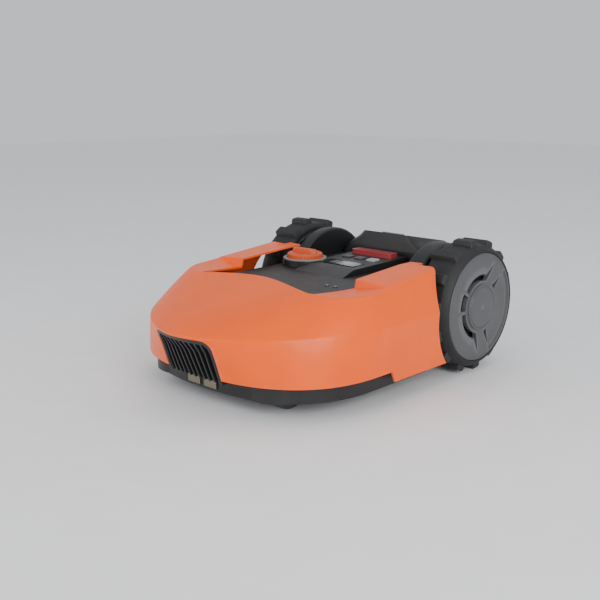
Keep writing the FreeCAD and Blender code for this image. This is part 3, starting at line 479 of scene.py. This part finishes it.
def side_rows(distance, way):
    """Points of a side at a distance ahead of the axle, from its lower edge to the deck opening."""
    back = (WIDEST - distance) / 170
    lower = SKIRT_REAR + (SKIRT_FRONT - SKIRT_REAR) * eased(distance, 211, 218)
    raised = eased(distance, SHOULDER + 1.5, SHOULDER - 1.5)
    beside_deck = 154.5 + (distance - SHOULDER) * 0.04
    on_shoulder = 167 + 7 * min(1, (SHOULDER - distance) / 106)
    inner = beside_deck * (1 - raised) + on_shoulder * raised
    points = ((BELT_HALF - 2.5, lower), (BELT_HALF - 1, 87), (BELT_HALF, 115),
              (BELT_HALF - 9 - 4 * back, 138 + 8 * back), (BELT_HALF - 22 - 6 * back, 160 + 17 * back),
              (DECK_HALF - 3 * back, inner))
    return [Vector((way * x, -distance, z)) for x, z in points]


def opening_outline():
    """Outline of the grille's opening across and up, its upper corners rounded."""
    middle_x, middle_z = OPENING_HALF - OPENING_CORNER, OPENING_TOP - OPENING_CORNER
    outline = [(-OPENING_HALF, OPENING_FOOT), (OPENING_HALF, OPENING_FOOT)]
    for way, turns in ((1, range(0, 91, 15)), (-1, range(90, -1, -15))):
        outline += [(way * (middle_x + OPENING_CORNER * math.cos(math.radians(turn))),
                     middle_z + OPENING_CORNER * math.sin(math.radians(turn))) for turn in turns]
    return outline


def shell_piece():
    """The orange skin: a strip from the right side round the nose to the left, cut for grille and wheels."""
    stations = [side_rows(distance, -1) for distance in SIDE_STATIONS]
    stations += [nose_rows(math.radians(turn)) for turn in range(-90, 91, NOSE_TURN)]
    stations += [side_rows(distance, 1) for distance in reversed(SIDE_STATIONS)]
    rows = [[point + Vector((0, AXLE_Y, 0)) for point in rounded_line(station, PROFILE_RADII, 3)]
            for station in stations]
    obj = piece("shell_skin", *grid(rows), "shell")
    wall = obj.modifiers.new("wall", "SOLIDIFY")
    wall.thickness = WALL * MM
    wall.offset = -1
    applied(obj)
    start, end = OPENING_CUT
    tools = [prism("opening", opening_outline(), "y", AXLE_Y + start, AXLE_Y + end)]
    circle = [polar(turn, ARCH_R) for turn in range(0, 360, 3)]
    for way in (-1, 1):
        tools.append(prism("arch", circle, "x", way * ARCH_IN, way * ARCH_OUT))
    carved(obj, *tools)
    bevel(obj, 0.8, 3, 50).modifiers["edges"].miter_outer = "MITER_SHARP"
    return dress(obj, "orange_shell")


def nose_y(x, z):
    """The shell's outer surface below the belt, at a place across and up."""
    rows = NOSE_ROWS[:3]
    low, high = (rows[0], rows[1]) if z < rows[1][3] else (rows[1], rows[2])
    share = (z - low[3]) / (high[3] - low[3])
    half, reach, exponent = (low[i] + (high[i] - low[i]) * share for i in range(3))
    return AXLE_Y - WIDEST - reach * (1 - min(1, abs(x) / half) ** exponent) ** (1 / exponent)


def nose_bar(left, right, low, high, front, back, columns=2, rows=8):
    """A block between two depths behind the nose, its faces following the nose."""
    def wall(depth):
        across = [left + (right - left) * i / columns for i in range(columns + 1)]
        heights = [low + (high - low) * k / rows for k in range(rows + 1)]
        return [[Vector((x, nose_y(x, z) + depth, z)) for x in across] for z in heights]
    outer, inner = wall(front), wall(back)
    ring = [outer[k] + inner[k][::-1] for k in range(rows + 1)]
    verts, faces = grid(ring, closed_across=True)
    width = 2 * (columns + 1)
    for start in (0, rows * width):
        last = start + width - 1
        faces += [(start + i, start + i + 1, last - 1 - i, last - i) for i in range(columns)]
    return verts, faces


def grille_piece():
    """Upright ribs before a back plate, in a border with rounded upper corners."""
    half = OPENING_HALF - 1.2
    ribs, rib_half, margin = 11, 1.5, 5
    border_front, border_back = 0.4, 11
    bars = [nose_bar(-half, half, 46, 106, front=8, back=11.5, columns=14)]
    for number in range(ribs):
        x = -half + margin + (2 * half - 2 * margin) * number / (ribs - 1)
        bars.append(nose_bar(x - rib_half, x + rib_half, 43, 103, front=1.6, back=9, columns=1))
    bars.append(nose_bar(-half + 9, half - 9, 101.5, 107, border_front, border_back, columns=14, rows=2))
    for way in (-1, 1):
        left, right = sorted((way * half, way * (half - 4)))
        bars.append(nose_bar(left, right, 42, 98, border_front, border_back))
        for step, inset in enumerate((0, 1.2, 3.6, 8)):         # the rounded corner, in steps
            low, high = 97 + 2.4 * step, 100.6 + 2.4 * step
            outer = half - inset
            left, right = sorted((way * outer, way * (outer - 7)))
            bars.append(nose_bar(left, right, low, high, border_front, border_back, rows=1))
    obj = piece("grille_ribs", *joined(bars), "front_grille")
    return dress(bevel(obj, 0.7, 2), "black_plastic")


# ---------------------------------------------------------------- rear wheels

SLOT_AXIS = 164.5               # the slots lie symmetrically about this angle, from the rear upwards
FACET_HALF = 53                 # half angle of the facet opposite them
FACE_IN, FACE_OUT = 38, 80      # the disc's face slopes between these radii
FACE_RADII = (0, 20, 30, 37, 38.5, 40, 44, 50, 58, 66, 74, 79.5, 80.3)
RIM = ((81, 0), (82, 0.1), (83, 0.5), (83.7, 1.1), (HUB_R, 2.4), (HUB_R, 4))   # radius, depth
DISC_BACK = (                   # place across and radius, from the rim inwards round the boss
    (HUB_IN, HUB_R), (HUB_IN, HUB_R - 4), (HUB_OUT - 8, HUB_R - 5), (HUB_OUT - 8, 15), (150, 14), (150, 7),
    (HUB_OUT - 9, 6.5), (HUB_OUT - 9, POLE),
)
ARC_SLOTS = ((-15, 15, 41, 55), (21, 86, 41, 51), (-86, -21, 41, 51))          # start, end, inner, outer
POINTED_SLOTS = ((84, 103, 41.5, 72, 8.5), (126, 127, 42, 68, 6.5))            # turns, radii, half base
CAP_R = 36
LUGS, FIRST_LUG = 14, 6         # number of lugs, and degrees forwards from the wheel's top to the first
LUG_BASE, LUG_END = 90, 190     # radius inside the carcass, and place across of the outer end


def slot_outlines():
    outlines = []
    for start, end, inner, outer in ARC_SLOTS:
        turns = [SLOT_AXIS + start + (end - start) * i / 12 for i in range(13)]
        outline = [polar(turn, inner) for turn in turns]
        outlines.append(outline + [polar(turn, outer) for turn in reversed(turns)])
    for way in (-1, 1):
        for start, end, base, tip, half in POINTED_SLOTS:
            outlines.append([polar(SLOT_AXIS + way * (start - half), base), polar(SLOT_AXIS + way * end, tip),
                             polar(SLOT_AXIS + way * (start + half), base)])
    return outlines


def hub_piece(side, name):
    """Wheel disc with a rolled rim, a sloping facet, three arc slots and four pointed slots."""
    rows = []
    for turn in range(0, 360, 2):
        away = abs((turn - SLOT_AXIS) % 360 - 180)
        facet = min(1, max(0, (FACET_HALF - away) / 2))
        front = []
        for radius in FACE_RADII:
            sloping = FACE_IN < radius < FACE_OUT
            depth = 0.6 + 2.4 * facet * (radius - FACE_IN) / (FACE_OUT - FACE_IN) if sloping else 0
            front.append((HUB_OUT - depth, max(radius, POLE)))
        front += [(HUB_OUT - depth, radius) for radius, depth in RIM]
        rows.append([Vector((side * x, *polar(turn, radius))) for x, radius in (*front, *DISC_BACK)])
    obj = piece("wheel_disc_" + name, *grid(rows, closed_along=True), "wheel_hub_" + name)
    work = bmesh.new()
    work.from_mesh(obj.data)
    bmesh.ops.remove_doubles(work, verts=work.verts, dist=0.03 * MM)
    bmesh.ops.recalc_face_normals(work, faces=work.faces)
    work.to_mesh(obj.data)
    work.free()
    carved(obj, *[prism("slot", outline, "x", side * (HUB_OUT - 20), side * (HUB_OUT + 5))
                  for outline in slot_outlines()])
    bevel(obj, 0.6, 2, 40)
    return dress(obj, "hub_grey")


def slot_floor(side, name):
    """Dark dish behind the slots of a wheel disc."""
    outline = [(HUB_OUT - 14, 20), (HUB_OUT - 14, 76), (HUB_OUT - 11.5, 77), (HUB_OUT - 11.5, 20)]
    obj = lathe("slot_floor_" + name, outline, AXLE, None, side=side, radii=(1, 1, 1, 1))
    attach(obj, "wheel_" + name)
    return dress(obj, "black_plastic")


def cap_piece(side, name):
    """Centre cap with a groove inside its rim."""
    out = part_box("hub_cap_left")[1].x / MM
    outline = [(HUB_OUT - 4, POLE), (HUB_OUT - 4, CAP_R - 1), (HUB_OUT - 0.2, CAP_R), (out - 1.6, CAP_R),
               (out - 0.7, CAP_R - 1.2), (out - 0.7, CAP_R - 2.6), (out - 1.5, CAP_R - 3.2),
               (out - 1.5, CAP_R - 4.2), (out - 0.4, CAP_R - 5), (out, 12), (out, POLE)]
    radii = [0, 0.5, 0.3, 0.8, 0.3, 0.3, 0.3, 0.3, 0.4, 6, 0]
    obj = lathe("centre_cap_" + name, outline, AXLE, "hub_cap_" + name, side=side, radii=radii)
    return dress(obj, "hub_grey")


def lug(side, start, end):
    """Vertices and faces of a lug at the top of a wheel, between two places across, narrower at its top."""
    verts, faces = [], []
    for along, inwards in ((start, 1), (end, -1)):
        for radius, half, draw in ((LUG_BASE, 9.6, 0), (TYRE_R - 2.5, 8.3, 1.2), (TYRE_R - 0.2, 6.8, 2.6)):
            for way in (-1, 0, 1):
                height = math.sqrt(radius ** 2 - (half * way) ** 2)
                verts.append(Vector((side * (along + inwards * draw), half * way, height)))
    for a in (0, 1, 3, 4):                      # the two ends
        faces += [(a, a + 1, a + 4, a + 3), (a + 9, a + 12, a + 13, a + 10)]
    for a in (0, 1):                            # base and top
        faces += [(a, a + 9, a + 10, a + 1), (a + 6, a + 7, a + 16, a + 15)]
    for a in (0, 3):                            # the two sides
        faces += [(a, a + 3, a + 12, a + 9), (a + 2, a + 11, a + 14, a + 5)]
    return verts, faces


def tyre_piece(side, name):
    """Carcass with rounded shoulders and chunky lugs, every other one starting further out."""
    outer = HUB_OUT - 0.4
    outline = [(HUB_IN, HUB_R - 1), (HUB_IN, 91), (HUB_IN + 4, 96), (HUB_IN + 12, 97), (178, 97), (188, 95.5),
               (194, 91.5), (outer, 87.5), (outer, HUB_R + 0.6), (HUB_OUT - 6, HUB_R - 1)]
    parts = [taken(lathe("carcass", outline, AXLE, None, side=side, radii=[2] * len(outline), segments=112))]
    for number in range(LUGS):
        verts, faces = lug(side, HUB_IN if number % 2 else HUB_IN + 12, LUG_END)
        spin = Matrix.Rotation(math.radians(360 * number / LUGS + FIRST_LUG), 3, "X")
        parts.append(([spin @ v + Vector(AXLE) for v in verts], faces))
    obj = piece("tyre_tread_" + name, *joined(parts), "tyre_" + name)
    return dress(bevel(obj, 1.1, 3, 28), "tyre_rubber")


def housing_piece(side, name):
    """Round drive housing with soft edges, a shallow ring and an opening for the shaft."""
    inner, outer = (corner.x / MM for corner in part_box("drive_housing_left"))
    radius = radius_of("drive_housing_left")
    outline = [(inner, 23), (inner, radius - 3), (inner + 2, radius), (outer - 12, radius),
               (outer - 4, radius - 3), (outer, radius - 11), (outer, 70), (outer - 1.5, 68),
               (outer - 1.5, 58), (outer, 56), (outer, 12), (outer - 2.8, 12), (outer - 3, 23)]
    radii = [0, 1, 3, 8, 6, 6, 1, 1, 1, 1, 0.5, 0.5, 0.5]
    obj = lathe("drive_dome_" + name, outline, AXLE, "drive_housing_" + name, side=side, radii=radii)
    return dress(obj, "black_plastic")


# ---------------------------------------------------------------- casters and knob

def caster_wheel_piece(name):
    """Small wheel with four ribs round its tread and a sunk ring on each face."""
    node = "caster_wheel_" + name
    low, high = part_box(node)
    radius, half = radius_of(node), (high.x - low.x) / 2 / MM
    ribs, pitch = 4, 5.5
    outline = [(-half, 3.1), (-half, 9), (-half + 2, 10), (-half + 2, radius - 8), (-half, radius - 6),
               (-half, radius - 2.4)]
    radii = [0, 0.8, 0.8, 1, 1, 1]
    for number in range(ribs):
        start = -half + 0.6 + pitch * number
        outline += [(start + 0.6, radius), (start + 3.4, radius)]
        radii += [1.2, 1.2]
        if number < ribs - 1:
            outline += [(start + 4, radius - 3.2), (start + 5.2, radius - 3.2)]
            radii += [0.6, 0.6]
    outline += [(half, radius - 2.4), (half, radius - 6), (half - 2, radius - 8), (half - 2, 10), (half, 9),
                (half, 3.1)]
    radii += [1, 1, 1, 0.8, 0.8, 0]
    obj = lathe("caster_roller_" + name, outline, middle(node), node, radii=radii, segments=72)
    return dress(obj, "caster_grey")


def knob_grip(centre, radius, top):
    """Vertices and faces of the bar across the dial, a little slimmer at its middle and at its top."""
    steps, square = 48, 0.6     # the exponent makes the plan of the bar squarer than an ellipse
    rows = []
    for z, grow in ((top - 8, 0), (top - 3, -0.6), (top - 0.8, -1.6), (top, -3.4)):
        ring = []
        for step in range(steps):
            turn = 2 * math.pi * step / steps
            c, s = math.cos(turn), math.sin(turn)
            x = math.copysign(abs(c) ** square, c) * (radius * 0.88 + grow)
            y = math.copysign(abs(s) ** square, s) * (7.5 + 0.6 * grow) * (1 - 0.18 * (1 - abs(c)))
            ring.append(Vector((centre.x + x, centre.y + y, z)))
        rows.append(ring)
    verts, faces = grid(rows, closed_across=True)
    faces.append(tuple(range((len(rows) - 1) * steps, len(rows) * steps)))
    faces.append(tuple(range(steps - 1, -1, -1)))
    return verts, faces


def knob_piece():
    """Orange dial with a fluted edge and a raised grip across it."""
    low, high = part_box("height_knob")
    centre, radius = middle("height_knob"), (high.x - low.x) / 2 / MM
    base, top = low.z / MM, high.z / MM

    def flutes(turn, point):
        return -0.7 * (0.5 + 0.5 * math.cos(30 * turn)) if point.y > radius - 2 else 0

    outline = [(base, POLE), (base, radius - 1), (base + 1, radius), (top - 8.5, radius),
               (top - 6.6, radius - 1.4), (top - 6.2, radius - 3.5), (top - 7.2, radius - 6),
               (top - 7.2, POLE)]
    dial = lathe("dial", outline, (centre.x, centre.y, 0), None, axis="z", segments=240, closed=False,
                 wobble=flutes)
    obj = piece("height_dial", *joined([taken(dial), knob_grip(centre, radius, top)]), "height_knob")
    return dress(bevel(obj, 0.35, 2, 40), "orange_knob")


# ---------------------------------------------------------------- the mower

PLAIN_EDGE = 0.4
EDGES = {                       # rounding of the pieces that keep the CAD shape, where it isn't PLAIN_EDGE
    "chassis_base": 1.6, "chassis_cover": 2.2, "console_panel": 1.6, "rear_cover": 2.2, "stop_button": 2.2,
    "key_home": 1.3, "key_back": 1.3, "key_start": 1.3, "display_window": 0.8, "knob_base": 1.2,
    "knob_ring": 0.7, "rear_badge": 0.5, "caster_fork_left": 1.0, "caster_fork_right": 1.0,
    "battery_cover": 0.8, "blade_1": 0.2, "blade_2": 0.2, "blade_3": 0.2, "blade_disc": 0.5,
    "charge_contacts": 0.5, "main_board": 0.3, "display_module": 0.3, "chassis_seal": 0.3,
}
MADE = {"shell": shell_piece, "front_grille": grille_piece, "height_knob": knob_piece}
for way, word in SIDES:
    MADE["wheel_hub_" + word] = partial(hub_piece, way, word)
    MADE["hub_cap_" + word] = partial(cap_piece, way, word)
    MADE["tyre_" + word] = partial(tyre_piece, way, word)
    MADE["drive_housing_" + word] = partial(housing_piece, way, word)
    MADE["caster_wheel_" + word] = partial(caster_wheel_piece, word)

for node in sorted(NODES):
    if node in MADE:
        MADE[node]()
    else:
        obj = dress(refined(node, EDGES.get(node, PLAIN_EDGE)), SLOTS[node])
        if node == "display_window":
            obj.data.materials[0] = lit_display()
for way, word in SIDES:
    slot_floor(way, word)

# ---------------------------------------------------------------- floor, light and camera

bpy.ops.mesh.primitive_plane_add(size=12, location=(0, 0, 0))
floor = bpy.context.object
floor.name = "floor"
floor.data.materials.append(surface("floor_pale", (0.93, 0.935, 0.95), 0.75, 0.012, 0.02, 300))

world = bpy.data.worlds.new("studio")
bpy.context.scene.world = world
world.use_nodes = True
world.node_tree.nodes["Background"].inputs["Color"].default_value = (0.93, 0.945, 0.97, 1)
world.node_tree.nodes["Background"].inputs["Strength"].default_value = 0.78


def soft_light(name, place, energy, width):
    """A square area light that shines at the mower; place and width in metres."""
    light = bpy.data.lights.new(name, "AREA")
    light.energy, light.size = energy, width
    obj = linked(name, light)
    obj.location = place
    obj.rotation_euler = (Vector((0, 0, 0.1)) - Vector(place)).to_track_quat("-Z", "Y").to_euler()


soft_light("key", (1.9, -0.9, 0.9), 30, 1.1)
soft_light("nose_fill", (-0.6, -2.0, 0.9), 12, 1.4)
soft_light("top", (0.2, 0.8, 2.2), 6, 1.8)

camera = linked("camera", bpy.data.cameras.new("camera"))
camera.data.lens, camera.data.sensor_width = 53.64, 36
camera.location = (0.9197, -0.9929, 0.4275)
target = Vector((-0.0039, -0.0206, 0.1149))
camera.rotation_euler = (target - camera.location).to_track_quat("-Z", "Y").to_euler()
bpy.context.scene.camera = camera
